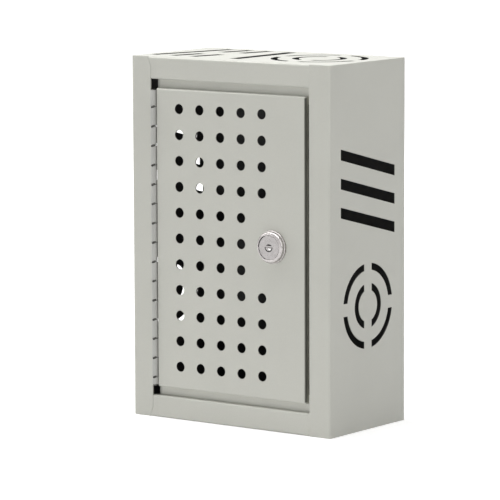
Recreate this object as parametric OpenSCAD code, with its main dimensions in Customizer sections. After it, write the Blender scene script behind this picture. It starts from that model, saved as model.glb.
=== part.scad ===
// Wall-hung steel locker box for phones: welded sheet body, perforated pan door on a
// continuous hinge, and a quarter-turn cam lock. Millimetres, +Z up, front towards -Y,
// origin at the centre of the body's underside.

/* [Body] */
// Width of the body
body_w = 240; // [210:1:320]
// Depth of the body, without the lock
body_d = 130; // [126:1:200]
// Height of the body
body_h = 360; // [335:1:420]
// Thickness of the body and door sheet
sheet_t = 1.5; // [1:0.1:2]
// Inside radius of the bends along the front edges
front_bend_r = 0.6; // [0.3:0.1:1.5]
// Inside radius of the two rear corner bends
rear_bend_r = 2.5; // [1:0.1:5]
// Length of the back sheet's return onto each side
rear_return = 7; // [5:0.5:15]
// Gap left at the welded joints
weld_gap = 0.05; // [0.02:0.01:0.1]

/* [Front frame] */
// Width of the stile beside the hinge
hinge_stile_w = 23.7; // [20:0.1:35]
// Width of the stile beside the lock
lock_stile_w = 24.5; // [22:0.1:40]
// Height of the top and bottom rails
rail_h = 22.2; // [18:0.1:35]
// Open seam between the hinge stile and the rails
seam_gap = 0.3; // [0.1:0.1:0.8]
// Width taken off the hinge stile's corner at each end
mitre_w = 3.5; // [1:0.1:8]
// Height of that corner cut
mitre_h = 10; // [4:0.5:16]
// Thickness of the stop and keeper angles
angle_t = 1.2; // [0.8:0.1:2]
// Overlap of each stop behind the door's edge
stop_overlap = 8; // [4:0.5:15]
// Gap between the hinge stile's seam and the stops' ends
stop_inset = 3.5; // [0:0.5:10]
// Width of the keeper's welded flange
keeper_flange = 14; // [8:0.5:18]

/* [Door] */
// Gap between the door and each rail
rail_gap = 8.75; // [4:0.25:12]
// Gap between the door and the lock stile
lock_gap = 5; // [2:0.5:8]
// Gap between the stile seam and the door, which the barrel fills
hinge_gap = 7; // [6.6:0.1:10]
// Depth of the pan door, with its returned edges
door_depth = 6.4; // [5:0.1:10]
// Clearance between the closed door and its stops
stop_clearance = 0.4; // [0.3:0.1:1]

/* [Door holes] */
// Radius of each round hole
hole_r = 5; // [2:0.1:6]
// Spacing between columns
column_pitch = 25.12; // [16:0.01:40]
// Spacing between rows
row_pitch = 25.63; // [16:0.01:40]
// First column, from the door's hinge edge
first_column = 27.65; // [20:0.05:40]
// First row, from the door's top edge
first_row = 19.5; // [12:0.1:40]
// Least distance from a hole to the door's bottom edge
last_row_margin = 16; // [10:1:40]
// Distance kept clear of holes round the lock
lock_clear_r = 33; // [26:1:50]
// Least distance from a hole column to the lock's axis, on the hinge side
column_margin = 8; // [0:1:30]

/* [Hinge] */
// Outer radius of the knuckles, which stand proud of the front
knuckle_r = 3; // [2.7:0.05:3]
// Radial clearance of the pin in its knuckles
pin_clearance = 0.05; // [0.02:0.01:0.1]
// Thickness of the leaves, rolled up into the knuckles
leaf_t = 1.2; // [0.8:0.1:1.5]
// Width of the frame leaf
frame_leaf_w = 16; // [10:0.5:18]
// Width of the door leaf
door_leaf_w = 20; // [10:0.5:30]
// Spacing of the knuckles
knuckle_pitch = 19.29; // [12:0.01:30]
// Length of the topmost knuckle
top_knuckle = 16.5; // [8:0.5:25]
// Gap between neighbouring knuckles
knuckle_gap = 0.6; // [0.4:0.1:1.5]
// Distance from the hinge's ends to the door's top and bottom edges
hinge_inset = 2; // [0.5:0.1:4]
// Clearance between the barrel and the parts beside it
barrel_clearance = 0.5; // [0.3:0.05:0.6]
// Thickness of the pin's peened heads
pin_head_t = 0.8; // [0.5:0.1:1.5]

/* [Lock] */
// Distance from the lock's axis to the door's free edge
lock_backset = 38.5; // [32:0.5:60]
// Height of the lock's axis above the door's bottom edge
lock_height = 150.4; // [120:0.1:200]
// Radius of the threaded barrel
barrel_r = 9.4; // [9:0.1:9.8]
// Width of the barrel across its two flats
barrel_flats = 16; // [15.6:0.1:17]
// Length of the barrel behind the door's face
barrel_len = 16; // [14.5:0.5:25]
// Radius of the collar at the door
collar_r = 16.3; // [15:0.1:18]
// Height of the collar
collar_h = 2.4; // [1.6:0.1:6]
// Radius of the collar's rounded front edge
collar_round = 0.7; // [0.3:0.1:1.2]
// Radius of the housing head's rim
head_r = 12.9; // [12.6:0.1:13.6]
// Height of the housing's head
head_h = 4.1; // [3:0.1:6]
// Radius of the plug's round face
face_r = 12; // [11:0.1:12]
// Depth of the head's recess
recess_depth = 1.5; // [1:0.1:2]
// Thickness of the plug's face
face_t = 1; // [0.6:0.1:1.2]
// Gap round the plug's face
face_gap = 0.35; // [0.2:0.05:0.5]
// Radius of the plug's core
core_r = 6; // [5.6:0.1:6.2]
// Radial clearance of turning and seated lock parts
lock_clearance = 0.05; // [0.02:0.01:0.1]
// Length of the keyway's mouth
keyway_w = 8.6; // [7:0.1:9]
// Height of the keyway
keyway_h = 2.2; // [1.6:0.1:2.6]
// Thickness of the washer behind the door
washer_t = 0.8; // [0.5:0.1:1.2]
// Radius of the washer
washer_r = 13; // [12:0.5:16]
// Width of the nut across its flats
nut_flats = 23; // [22:0.5:26]
// Thickness of the nut
nut_t = 4; // [3:0.5:5]

/* [Lock wafers] */
// Number of wafers
wafer_count = 5; // [3:1:5]
// Spacing of the wafers along the plug
wafer_pitch = 2; // [1.6:0.1:2.2]
// First wafer, behind the door's face
first_wafer = 2; // [1:0.5:3]
// Thickness of a wafer
wafer_t = 0.8; // [0.5:0.1:0.9]
// Height of a wafer
wafer_h = 6.8; // [6:0.1:7.2]
// Travel of a wafer into the housing's channel
wafer_travel = 0.8; // [0.5:0.1:0.9]
// Clearance of a wafer in its slot
wafer_clearance = 0.1; // [0.05:0.01:0.15]

/* [Cam] */
// Thickness of the cam
cam_t = 2; // [1.5:0.1:3]
// Width of the cam
cam_w = 16; // [14:0.5:20]
// Length of the cam that turns behind the keeper
cam_overlap = 8; // [4:0.5:10]
// Gap between the cam and the keeper's edge
keeper_gap = 0.5; // [0.3:0.1:1]
// Thickness of the stop washer
stop_t = 0.8; // [0.6:0.1:1.2]
// Width of the plug's square tang
tang_w = 8; // [7:0.1:8.4]
// Radius of the cam screw's shank
screw_r = 2; // [1.5:0.1:2.5]
// Radius of the cam screw's head
screw_head_r = 4.6; // [4:0.1:6]
// Height of the cam screw's head
screw_head_h = 2.4; // [1.8:0.1:3]
// Thickness of the cam washer
cam_washer_t = 0.8; // [0.5:0.1:1.2]
// Radius of the cam washer
cam_washer_r = 6.5; // [5.8:0.1:8]

/* [Vents] */
// Width of each straight slot
slot_w = 10.5; // [6:0.5:14]
// Slope of the slanted slots
slot_slope = 0.247; // [0:0.001:0.4]
// Spacing of the slanted slots
slot_pitch = 28; // [18:0.5:32]
// Distance from the front to the side slots
slots_front = 18; // [14:0.5:24]
// Distance from the side slots to the back
slots_rear = 20; // [16:0.5:26]
// Centre of the right side's slots above the base
right_slots_z = 234; // [230:1:255]
// Centre of the left side's slots above the base
left_slots_z = 258; // [230:1:260]
// Width of the solid bridge in the left side's two lower slots
left_bridge = 38; // [8:1:44]
// Step of the left side's slots towards the back, from each to the next below
left_stagger = 5; // [0:0.5:5]
// Centre of the ring vent above the base
ring_z = 122; // [80:1:130]
// Outer radius of the ring vent
ring_r = 42; // [30:0.5:46]
// Width of each ring's slot
ring_band = 6.8; // [4:0.1:9]
// Outer radius of the inner ring
inner_ring_r = 22.5; // [15:0.5:25]
// Width of the ring vent's solid bridges
ring_bridge = 12.5; // [6:0.5:16]

/* [Top vents] */
// Centre of the slanted slots, from the left side
top_slots_x = 47; // [44:1:60]
// Spacing of the slanted slots
top_slot_pitch = 24; // [18:0.5:26]
// Distance from the front to the top slots
top_slots_front = 21; // [15:0.5:30]
// Distance from the top slots to the back
top_slots_rear = 11; // [8:0.5:30]
// Width of the solid bridge in two of the slanted slots
top_bridge = 24; // [8:1:30]
// Width of the long plain slot
long_slot_w = 12; // [6:0.5:16]
// Centre of the long plain slot, from the left side
long_slot_x = 111; // [105:1:118]
// Centre of the ring vent, from the right side
top_ring_x = 61.5; // [55:0.5:70]
// Outer radius of the top ring vent
top_ring_r = 48; // [30:0.5:50]
// Outer radius of the top inner ring
top_inner_r = 27; // [15:0.5:30]

/* [Wall holes] */
// Radius of each hole
wall_hole_r = 3.5; // [2:0.1:6]
// Distance from each hole to the nearer side
wall_hole_side = 40; // [20:1:80]
// Distance from each hole to the nearer end
wall_hole_end = 40; // [20:1:100]

/* [Hidden] */

$fn = 96;
paint = [0.74, 0.74, 0.71];
hinge_paint = [0.66, 0.66, 0.63];
nickel = [0.78, 0.76, 0.75];
zinc_plate = [0.62, 0.63, 0.65];
brass = [0.72, 0.58, 0.30];

// How far a cutting shape runs past the face that it cuts
cut = 1;

// The body's faces
left = -body_w / 2;
right = body_w / 2;
front = -body_d / 2;
back = body_d / 2;
front_bend = front_bend_r + sheet_t;
rear_bend = rear_bend_r + sheet_t;

// The opening between the stiles and rails
open_left = left + hinge_stile_w + seam_gap;
open_right = right - lock_stile_w;
open_bottom = rail_h;
open_top = body_h - rail_h;

// The door
door_left = open_left + hinge_gap;
door_right = open_right - lock_gap;
door_bottom = open_bottom + rail_gap;
door_top = open_top - rail_gap;
stop_face = front + door_depth + stop_clearance;
columns = floor((door_right - lock_backset - column_margin - door_left - first_column)
                / column_pitch) + 1;
rows = floor((door_top - first_row - last_row_margin - door_bottom) / row_pitch) + 1;

// The hinge
axis_x = left + hinge_stile_w + barrel_clearance + knuckle_r;
axis_y = front + sheet_t + leaf_t - knuckle_r;
bore_r = knuckle_r - leaf_t;
pin_r = bore_r - pin_clearance;
hinge_bottom = door_bottom + hinge_inset;
hinge_top = door_top - hinge_inset;
leaf_edge = knuckle_r + barrel_clearance;
leaf_end_gap = sheet_t + front_bend_r + barrel_clearance;
least_knuckle = 2 * leaf_end_gap + knuckle_gap;
joints = floor((hinge_top - top_knuckle - least_knuckle - hinge_bottom) / knuckle_pitch) + 1;
knuckle_ends = concat([hinge_top],
                      [for (i = [0 : joints - 1]) hinge_top - top_knuckle - i * knuckle_pitch],
                      [hinge_bottom]);

// The vents
slot_len = body_d - slots_front - slots_rear;
side_vent_y = front + slots_front + slot_len / 2;
top_slot_len = body_d - top_slots_front - top_slots_rear;
top_vent_y = front + top_slots_front + top_slot_len / 2;

// The lock, measured behind the door's front face; its front parts stand at minus values
lock_x = door_right - lock_backset;
lock_z = door_bottom + lock_height;
head_base = -collar_h;
head_face = head_base - head_h;
recess_floor = head_face + recess_depth;
plug_seat = recess_floor - lock_clearance;
stop_front = barrel_len + 2 * lock_clearance;
cam_front = stop_front + stop_t;
cam_rear = cam_front + cam_t;
tang_end = cam_rear - 2 * lock_clearance;
washer_rear = cam_rear + cam_washer_t;
screw_depth = 7;
screw_tip = washer_rear - screw_depth;
screw_socket = 1.2;
key_depth = 13;
face_dish = 0.35;
shoulder_r = collar_r - collar_round;
stop_shoulder = 1;
stop_gap = 0.3;
stop_disc_r = core_r + stop_shoulder;
stop_rim_r = stop_disc_r + stop_gap;
channel_r = core_r + wafer_travel + 2 * wafer_clearance;
channel_start = first_wafer - wafer_t;
channel_end = first_wafer + wafer_count * wafer_pitch;
wafer_r = core_r - 1.5 * wafer_clearance;
keeper_end = cam_front - keeper_gap;
cam_reach = open_right - lock_x + cam_overlap;

// ---- Helpers ----

// Sets a 2-D shape drawn in (Y, Z) along X
module along_x(from, to) {
    translate([from, 0, 0]) rotate([90, 0, 90]) linear_extrude(to - from) children();
}

// Sets a 2-D shape drawn in (X, Z) along Y
module along_y(from, to) {
    translate([0, to, 0]) rotate([90, 0, 0]) linear_extrude(to - from) children();
}

// Stands a shape, made along +Z, on the lock's axis, with +Z pointing into the box
module on_lock_axis() {
    translate([lock_x, front, lock_z]) rotate([-90, 0, 0]) children();
}

// A straight leg of sheet between two points of its middle line
module leg(a, b, t) {
    low = [min(a.x, b.x), min(a.y, b.y)];
    size = [abs(a.x - b.x), abs(a.y - b.y)];
    pad = size.x > size.y ? [0, t / 2] : [t / 2, 0];
    translate(low - pad) square(size + 2 * pad);
}

// A quarter ring at the corner between two directions of a sheet's middle line
module corner(p, into, out, inside_r, t) {
    outer = inside_r + t;
    side = into - out;
    translate(p + (inside_r + t / 2) * (out - into)) intersection() {
        difference() {
            circle(outer);
            circle(inside_r);
        }
        translate([min(0, side.x * outer), min(0, side.y * outer)]) square(outer);
    }
}

// A sheet folded square along a middle line, with an inside radius at each fold
module folded(path, radii, t) {
    last = len(path) - 1;
    heading = [for (i = [0 : last - 1]) (path[i + 1] - path[i]) / norm(path[i + 1] - path[i])];
    for (i = [0 : last - 1]) {
        trim_a = i == 0 ? 0 : radii[i - 1] + t / 2;
        trim_b = i == last - 1 ? 0 : radii[i] + t / 2;
        leg(path[i] + trim_a * heading[i], path[i + 1] - trim_b * heading[i], t);
    }
    for (i = [1 : last - 1])
        corner(path[i], heading[i - 1], heading[i], radii[i - 1], t);
}

// A slanted slot with square ends, centred on the origin, with an optional solid bridge
module slanted_slot(length, width, slope, bridge) {
    difference() {
        polygon([for (s = [[-1, -1], [1, -1], [1, 1], [-1, 1]])
                 [s.x * length / 2, -s.x * slope * length / 2 + s.y * width / 2]]);
        if (bridge > 0) square([bridge, length], center = true);
    }
}

// Three slanted slots one above another, the two lower ones with a bridge
module slot_group(length, pitch, bridge = 0, stagger = 0) {
    for (i = [-1 : 1])
        translate([-i * stagger, i * pitch])
            slanted_slot(length, slot_w, slot_slope, i == 1 ? 0 : bridge);
}

// Two broken rings with one centre
module ring_group(outer_r, inner_r) {
    for (r = [outer_r, inner_r])
        difference() {
            circle(r);
            circle(r - ring_band);
            square([ring_bridge, 3 * outer_r], center = true);
            if (r == outer_r) square([3 * outer_r, ring_bridge], center = true);
        }
}

// The vents of one side, drawn in (Y, Z)
module side_vents(slots_z, bridge = 0, stagger = 0) {
    translate([side_vent_y, slots_z]) slot_group(slot_len, slot_pitch, bridge, stagger);
    translate([side_vent_y, ring_z]) ring_group(ring_r, inner_ring_r);
}

// The outline of a floor or top sheet inside the side and back sheets
module inner_outline() {
    x0 = left + sheet_t + weld_gap;
    x1 = right - sheet_t - weld_gap;
    y0 = front + sheet_t + weld_gap;
    y1 = back - sheet_t - weld_gap;
    fr = front_bend_r;
    rr = rear_bend_r;
    translate([x0, y0 + fr]) square([x1 - x0, y1 - rr - y0 - fr]);
    translate([x0 + fr, y0]) square([x1 - x0 - 2 * fr, fr]);
    translate([x0 + rr, y1 - rr]) square([x1 - x0 - 2 * rr, rr]);
    for (x = [x0 + fr, x1 - fr]) translate([x, y0 + fr]) circle(fr);
    for (x = [x0 + rr, x1 - rr]) translate([x, y1 - rr]) circle(rr);
}

// The hinge stile's corner cut at the top, grown by a gap, drawn in (X, Z)
module stile_corner(gap) {
    x = left + hinge_stile_w + gap;
    polygon([[left - cut, body_h + cut], [x - mitre_w, body_h + cut], [x - mitre_w, body_h],
             [x, body_h - mitre_h], [x, body_h - rail_h - cut], [left - cut, body_h - rail_h - cut]]);
}

// Keeps a shape and adds its mirror image in the level plane at half height
module mirror_ends() {
    translate([0, 0, body_h]) mirror([0, 0, 1]) children();
}

// ---- Body sheets ----

// The left side, whose folded front edge is the hinge stile
module left_side() {
    x = left + sheet_t / 2;
    y = front + sheet_t / 2;
    stile_edge = left + hinge_stile_w;
    color(paint) difference() {
        linear_extrude(body_h)
            folded([[stile_edge, y], [x, y], [x, back - rear_return - weld_gap]],
                   [front_bend_r], sheet_t);
        along_x(left - cut, left + sheet_t + cut)
            side_vents(left_slots_z, left_bridge, left_stagger);
        for (z = [[body_h, -1], [0, 1]])
            along_y(front - cut, front + sheet_t + cut)
                polygon([[stile_edge - mitre_w, z[0]], [stile_edge - mitre_w, z[0] - z[1] * cut],
                         [stile_edge + cut, z[0] - z[1] * cut],
                         [stile_edge + cut, z[0] + z[1] * mitre_h],
                         [stile_edge, z[0] + z[1] * mitre_h]]);
    }
}

// The right side, whose folded front edge is the lock stile
module right_side() {
    x = right - sheet_t / 2;
    y = front + sheet_t / 2;
    color(paint) difference() {
        linear_extrude(body_h)
            folded([[open_right, y], [x, y], [x, back - rear_return - weld_gap]],
                   [front_bend_r], sheet_t);
        along_x(right - sheet_t - cut, right + cut) side_vents(right_slots_z);
    }
}

// The back, with a rounded return onto each side and four wall holes
module back_panel() {
    y = back - sheet_t / 2;
    color(paint) difference() {
        linear_extrude(body_h)
            folded([[left + sheet_t / 2, back - rear_return], [left + sheet_t / 2, y],
                    [right - sheet_t / 2, y], [right - sheet_t / 2, back - rear_return]],
                   [rear_bend_r, rear_bend_r], sheet_t);
        for (x = [left + wall_hole_side, right - wall_hole_side],
             z = [wall_hole_end, body_h - wall_hole_end])
            translate([x, back + cut, z]) rotate([90, 0, 0])
                cylinder(r = wall_hole_r, h = sheet_t + 2 * cut);
    }
}

// A top sheet without vents: a flat plate, the rail folded down and its lip folded back
module end_sheet() {
    z_plate = body_h - sheet_t / 2;
    z_lip = open_top + sheet_t / 2;
    y_rail = front + sheet_t / 2;
    rail_left = open_left - mitre_w;
    difference() {
        union() {
            translate([0, 0, body_h - sheet_t]) linear_extrude(sheet_t) inner_outline();
            along_x(rail_left, open_right - weld_gap)
                folded([[front + 2 * front_bend, z_plate], [y_rail, z_plate], [y_rail, z_lip],
                        [stop_face - front_bend_r, z_lip]], [front_bend_r, front_bend_r], sheet_t);
        }
        along_y(front - cut, front + sheet_t) stile_corner(seam_gap);
        translate([rail_left - cut, front + sheet_t - cut, open_top - cut])
            cube([open_left - rail_left + cut, stop_face - front + cut, sheet_t + cut]);
    }
}

// The top, with its vents
module top_panel() {
    color(paint) difference() {
        end_sheet();
        translate([0, 0, body_h - sheet_t - cut]) linear_extrude(sheet_t + 2 * cut) {
            translate([left + top_slots_x, top_vent_y])
                rotate(90) slot_group(top_slot_len, top_slot_pitch, top_bridge);
            translate([left + long_slot_x, top_vent_y])
                square([long_slot_w, top_slot_len], center = true);
            translate([right - top_ring_x, top_vent_y]) ring_group(top_ring_r, top_inner_r);
        }
    }
}

// The floor
module bottom_panel() {
    color(paint) mirror_ends() end_sheet();
}

// ---- Stops and keeper ----

// The angle behind the top rail that the door closes against
module stop_angle() {
    z_flange = open_top + sheet_t + angle_t / 2;
    y_web = stop_face + angle_t / 2;
    along_x(open_left + stop_inset, open_right - weld_gap)
        folded([[front + sheet_t + front_bend, z_flange], [y_web, z_flange],
                [y_web, door_top - stop_overlap]], [front_bend_r], angle_t);
}

module door_stop_top() {
    color(paint) stop_angle();
}

module door_stop_bottom() {
    color(paint) mirror_ends() stop_angle();
}

// The angle behind the lock stile that the cam turns behind
module lock_keeper() {
    x_lip = open_right + angle_t / 2;
    y_flange = front + sheet_t + angle_t / 2;
    color(paint) translate([0, 0, open_bottom])
        linear_extrude(open_top - open_bottom)
            folded([[open_right + keeper_flange, y_flange], [x_lip, y_flange],
                    [x_lip, front + keeper_end]], [front_bend_r], angle_t);
}

// ---- Hinge ----

// Every second knuckle, from the given one down, with its tab towards one side
module knuckles(first, side) {
    for (i = [first : 2 : len(knuckle_ends) - 2]) {
        top = knuckle_ends[i] - (i == 0 ? 0 : knuckle_gap / 2);
        bottom = knuckle_ends[i + 1] + (i == len(knuckle_ends) - 2 ? 0 : knuckle_gap / 2);
        translate([axis_x, axis_y, bottom]) linear_extrude(top - bottom) {
            circle(knuckle_r);
            translate([side < 0 ? -leaf_edge : 0, bore_r]) square([leaf_edge, leaf_t]);
        }
    }
}

// One leaf of the hinge, on side -1 or 1 of the axis
module leaf_half(first, side, leaf_w) {
    low = hinge_bottom + leaf_end_gap;
    difference() {
        union() {
            knuckles(first, side);
            translate([axis_x + (side < 0 ? -leaf_edge - leaf_w : leaf_edge), axis_y + bore_r, low])
                cube([leaf_w, leaf_t, hinge_top - leaf_end_gap - low]);
        }
        translate([axis_x, axis_y, hinge_bottom - cut])
            cylinder(r = bore_r, h = hinge_top - hinge_bottom + 2 * cut);
    }
}

module hinge_frame_leaf() {
    color(hinge_paint) leaf_half(0, -1, frame_leaf_w);
}

module hinge_door_leaf() {
    color(hinge_paint) leaf_half(1, 1, door_leaf_w);
}

// The pin, with a peened head above the top knuckle and below the bottom one
module hinge_pin() {
    head_r = (pin_r + knuckle_r) / 2;
    color(zinc_plate) translate([axis_x, axis_y, 0]) {
        translate([0, 0, hinge_bottom - barrel_clearance])
            cylinder(r = pin_r, h = hinge_top - hinge_bottom + barrel_clearance);
        translate([0, 0, hinge_top]) cylinder(r = head_r, h = pin_head_t);
        translate([0, 0, hinge_bottom - barrel_clearance - pin_head_t])
            cylinder(r = head_r, h = pin_head_t);
    }
}

// ---- Door ----

// A block with rounded front edges, inset from the door's outline and its front
module pan_block(inset, depth, r) {
    x0 = inset > 0 ? door_left - cut : door_left;
    x1 = door_right - inset;
    y0 = front + inset;
    y1 = front + depth;
    z0 = door_bottom + inset;
    z1 = door_top - inset;
    intersection() {
        translate([0, 0, z0]) linear_extrude(z1 - z0) {
            translate([x0, y0]) square([x1 - r - x0, y1 - y0]);
            translate([x1 - r, y0 + r]) square([r, y1 - y0 - r]);
            translate([x1 - r, y0 + r]) circle(r);
        }
        along_x(x0, x1) {
            translate([y0 + r, z0]) square([y1 - y0 - r, z1 - z0]);
            translate([y0, z0 + r]) square([r, z1 - z0 - 2 * r]);
            for (z = [z0 + r, z1 - r]) translate([y0 + r, z]) circle(r);
        }
    }
}

// The lock barrel's flatted outline, grown by a gap
module barrel_outline(gap) {
    intersection() {
        circle(barrel_r + gap);
        square([barrel_flats + 2 * gap, 2 * (barrel_r + gap)], center = true);
    }
}

// The pan door, with its grid of round holes left out round the lock
module door_panel() {
    color(paint) difference() {
        pan_block(0, door_depth, front_bend);
        pan_block(sheet_t, door_depth + cut, front_bend_r);
        for (c = [0 : columns - 1], r = [0 : rows - 1]) {
            x = door_left + first_column + c * column_pitch;
            z = door_top - first_row - r * row_pitch;
            if (norm([x - lock_x, z - lock_z]) > lock_clear_r)
                translate([x, front + sheet_t + cut, z]) rotate([90, 0, 0])
                    cylinder(r = hole_r, h = sheet_t + 2 * cut, $fn = 48);
        }
        on_lock_axis() translate([0, 0, -cut])
            linear_extrude(sheet_t + 2 * cut) barrel_outline(2 * lock_clearance);
    }
}

// ---- Lock: fixed parts ----

// The collar between the door and the housing's head, with a rounded front edge
module lock_collar() {
    color(nickel) on_lock_axis() rotate_extrude() difference() {
        union() {
            translate([0, collar_round - collar_h]) square([collar_r, collar_h - collar_round]);
            translate([0, -collar_h]) square([shoulder_r, collar_h]);
            translate([shoulder_r, collar_round - collar_h]) circle(collar_round);
        }
        translate([0, -collar_h - cut]) square([barrel_r + 2 * lock_clearance, collar_h + 2 * cut]);
    }
}

// The housing: coned head with a recess, flatted barrel, wafer channels and stop rim
module lock_housing() {
    recess_r = face_r + face_gap;
    color(nickel) on_lock_axis() difference() {
        union() {
            rotate_extrude() difference() {
                polygon([[0, head_base], [shoulder_r, head_base], [head_r, head_face], [0, head_face]]);
                translate([0, head_face - cut]) square([recess_r, recess_depth + cut]);
            }
            translate([0, 0, head_base]) linear_extrude(barrel_len - head_base) barrel_outline(0);
            translate([0, 0, barrel_len]) linear_extrude(stop_t) intersection() {
                difference() {
                    barrel_outline(0);
                    circle(stop_rim_r);
                }
                translate([-2 * barrel_r, -barrel_r]) square(2 * barrel_r);
            }
        }
        translate([0, 0, head_face])
            cylinder(r = core_r + lock_clearance, h = barrel_len - head_face + cut);
        for (turn = [0, -90])
            rotate(turn) translate([0, -wafer_h / 2 - wafer_clearance, channel_start])
                cube([channel_r, wafer_h + 2 * wafer_clearance, channel_end - channel_start]);
    }
}

module lock_washer() {
    color(zinc_plate) on_lock_axis() translate([0, 0, sheet_t]) linear_extrude(washer_t)
        difference() {
            circle(washer_r);
            barrel_outline(2 * lock_clearance);
        }
}

module lock_nut() {
    color(zinc_plate) on_lock_axis() translate([0, 0, sheet_t + washer_t]) difference() {
        cylinder(r = nut_flats / sqrt(3), h = nut_t, $fn = 6);
        translate([0, 0, -cut]) cylinder(r = barrel_r + lock_clearance, h = nut_t + 2 * cut);
    }
}

// ---- Lock: turning parts ----

// A wafer's outline, round at its two ends
module wafer_outline() {
    intersection() {
        circle(wafer_r);
        square([2 * core_r, wafer_h], center = true);
    }
}

// The plug: dished round face, core with wafer slots and keyway, square tang
module lock_plug() {
    face_front = plug_seat - face_t;
    color(nickel) on_lock_axis() difference() {
        union() {
            translate([0, 0, face_front]) cylinder(r = face_r, h = face_t);
            translate([0, 0, face_front]) cylinder(r = core_r, h = stop_front - face_front);
            translate([0, 0, stop_front]) linear_extrude(tang_end - stop_front)
                square(tang_w, center = true);
        }
        translate([0, 0, face_front - cut]) cylinder(r = keyway_w / 2 + face_dish, h = face_dish + cut);
        translate([-keyway_w / 2, -keyway_h / 2, face_front - cut])
            cube([keyway_w, keyway_h, key_depth - face_front + cut]);
        for (i = [0 : wafer_count - 1])
            translate([-2 * core_r, -wafer_h / 2 - wafer_clearance,
                       first_wafer + i * wafer_pitch - wafer_clearance])
                cube([4 * core_r, wafer_h + 2 * wafer_clearance, wafer_t + 2 * wafer_clearance]);
        translate([0, 0, screw_tip - cut]) cylinder(r = screw_r + lock_clearance, h = tang_end);
    }
}

// The wafers, drawn flush as a key holds them
module lock_wafers() {
    window_w = keyway_w - 2 * wafer_travel;
    color(brass) on_lock_axis()
        for (i = [0 : wafer_count - 1])
            translate([0, 0, first_wafer + i * wafer_pitch]) linear_extrude(wafer_t) difference() {
                wafer_outline();
                square([window_w, keyway_h], center = true);
            }
}

// The washer whose quarter tab runs between the ends of the housing's rim
module stop_washer() {
    color(zinc_plate) on_lock_axis() translate([0, 0, stop_front]) linear_extrude(stop_t)
        difference() {
            union() {
                circle(stop_disc_r);
                intersection() {
                    circle(barrel_r - lock_clearance);
                    translate([lock_clearance * 4, lock_clearance * 4]) square(barrel_r);
                }
            }
            square(tang_w + 2 * lock_clearance, center = true);
        }
}

// The cam, which hangs down at rest
module lock_cam() {
    tip_r = cam_w / 3;
    color(zinc_plate) on_lock_axis() translate([0, 0, cam_front]) linear_extrude(cam_t)
        difference() {
            union() {
                circle(cam_w / 2 + 1);
                translate([-cam_w / 2, 0]) square([cam_w, cam_reach - tip_r]);
                translate([tip_r - cam_w / 2, 0]) square([cam_w - 2 * tip_r, cam_reach]);
                for (x = [-1, 1])
                    translate([x * (cam_w / 2 - tip_r), cam_reach - tip_r]) circle(tip_r);
            }
            square(tang_w + 2 * lock_clearance, center = true);
        }
}

module cam_washer() {
    color(zinc_plate) on_lock_axis() translate([0, 0, cam_rear]) difference() {
        cylinder(r = cam_washer_r, h = cam_washer_t);
        translate([0, 0, -cut]) cylinder(r = screw_r + 2 * lock_clearance, h = cam_washer_t + 2 * cut);
    }
}

// The screw that holds the cam on the tang, with a crossed recess in its head
module cam_screw() {
    color(zinc_plate) on_lock_axis() difference() {
        union() {
            translate([0, 0, screw_tip]) cylinder(r = screw_r, h = screw_depth);
            translate([0, 0, washer_rear]) cylinder(r = screw_head_r, h = screw_head_h);
        }
        for (turn = [0, 90])
            rotate(turn) translate([-screw_head_r * 0.6, -0.5, washer_rear + screw_head_h - screw_socket])
                cube([screw_head_r * 1.2, 1, screw_socket + cut]);
    }
}

left_side();
right_side();
back_panel();
top_panel();
bottom_panel();
door_stop_top();
door_stop_bottom();
lock_keeper();
hinge_frame_leaf();
hinge_door_leaf();
hinge_pin();
door_panel();
lock_collar();
lock_housing();
lock_washer();
lock_nut();
lock_plug();
lock_wafers();
stop_washer();
lock_cam();
cam_washer();
cam_screw();
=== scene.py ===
"""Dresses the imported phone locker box: powder-coated sheet work, its hinge and its cam lock."""

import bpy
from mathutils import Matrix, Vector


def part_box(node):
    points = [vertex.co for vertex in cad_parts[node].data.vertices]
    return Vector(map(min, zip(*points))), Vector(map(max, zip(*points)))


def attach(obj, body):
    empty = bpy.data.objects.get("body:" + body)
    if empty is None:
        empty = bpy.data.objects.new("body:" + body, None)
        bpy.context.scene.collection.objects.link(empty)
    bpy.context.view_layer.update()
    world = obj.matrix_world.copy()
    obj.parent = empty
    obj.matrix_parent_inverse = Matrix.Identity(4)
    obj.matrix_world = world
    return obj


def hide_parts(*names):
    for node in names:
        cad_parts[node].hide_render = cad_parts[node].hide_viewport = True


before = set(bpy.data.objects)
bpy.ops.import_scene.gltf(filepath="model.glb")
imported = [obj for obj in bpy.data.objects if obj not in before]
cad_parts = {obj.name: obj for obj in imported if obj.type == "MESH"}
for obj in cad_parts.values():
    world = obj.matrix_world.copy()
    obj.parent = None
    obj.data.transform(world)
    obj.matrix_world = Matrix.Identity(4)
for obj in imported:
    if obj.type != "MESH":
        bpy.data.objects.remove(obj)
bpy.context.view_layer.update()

import logging
from collections.abc import Sequence
from dataclasses import dataclass
from enum import Enum
from math import asin, cos, degrees, radians, sin, sqrt

import bpy
from mathutils import Matrix, Vector

LOG = logging.getLogger("locker")
MM = 0.001
TINY = 1e-6  # radius of a turned piece's pole, and how near a solid's loose corners lie
MERGE = 4 * TINY
SMOOTH_ANGLE = 32.0
NEW_EDGE_ANGLE = 35.0
SOLID_EDGE_ANGLE = 40.0
NOISE_SPAN = (0.3, 0.7)  # where most of a noise's values lie
WAVE_GAP = 1.0 / 3.14  # distance between two rings of a wave texture, at a scale of 1

Socket = bpy.types.NodeSocket
Piece = bpy.types.Object
Material = bpy.types.Material
Point = tuple[float, float, float]
Colour = tuple[float, float, float]
Pair = tuple[float, float]
Outline = list[Pair]
Profile = Sequence[Pair]
Input = Socket | float

# Near-black painted shade for the box's inside, the walls of its holes and the hinge's gaps and corners.
PAINTED_SHADE: Colour = (0.030, 0.030, 0.028)
SHADOWED_METAL: Colour = (0.016, 0.015, 0.015)


class Body(Enum):
    """The bodies that pieces ride on."""

    CABINET = "cabinet"
    DOOR = "door"
    LOCK = "lock"


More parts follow.
